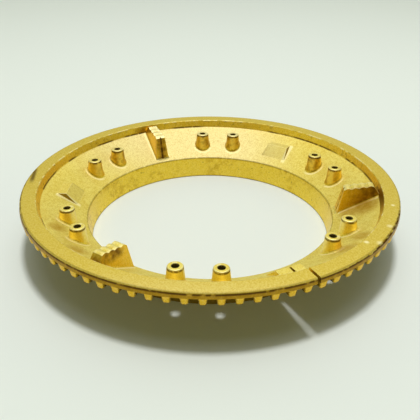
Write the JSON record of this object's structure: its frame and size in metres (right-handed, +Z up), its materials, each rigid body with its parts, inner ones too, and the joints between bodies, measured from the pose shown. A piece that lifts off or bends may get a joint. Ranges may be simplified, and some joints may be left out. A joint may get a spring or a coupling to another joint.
{
  "type": "gas burner cap",
  "caption": "Round cast brass gas burner cap with flame teeth under its rim, a sloping dish with flame nipples, fins and low pads, and a collar round an open centre.",
  "frame": {"origin": "centre of the collar's foot, on the surface that the cap stands on", "axes": "+Z up along the cap's axis, with one fin on +X and the flame slit at 60 degrees from +X towards -Y"},
  "size_m": [0.13, 0.13, 0.0195],
  "materials": {
    "cast_brass": "as cast, fine matt grain, with a duller machined rim"
  },
  "bodies": {
    "root": {"burner_cap": "cast_brass"}
  },
  "joints": []
}
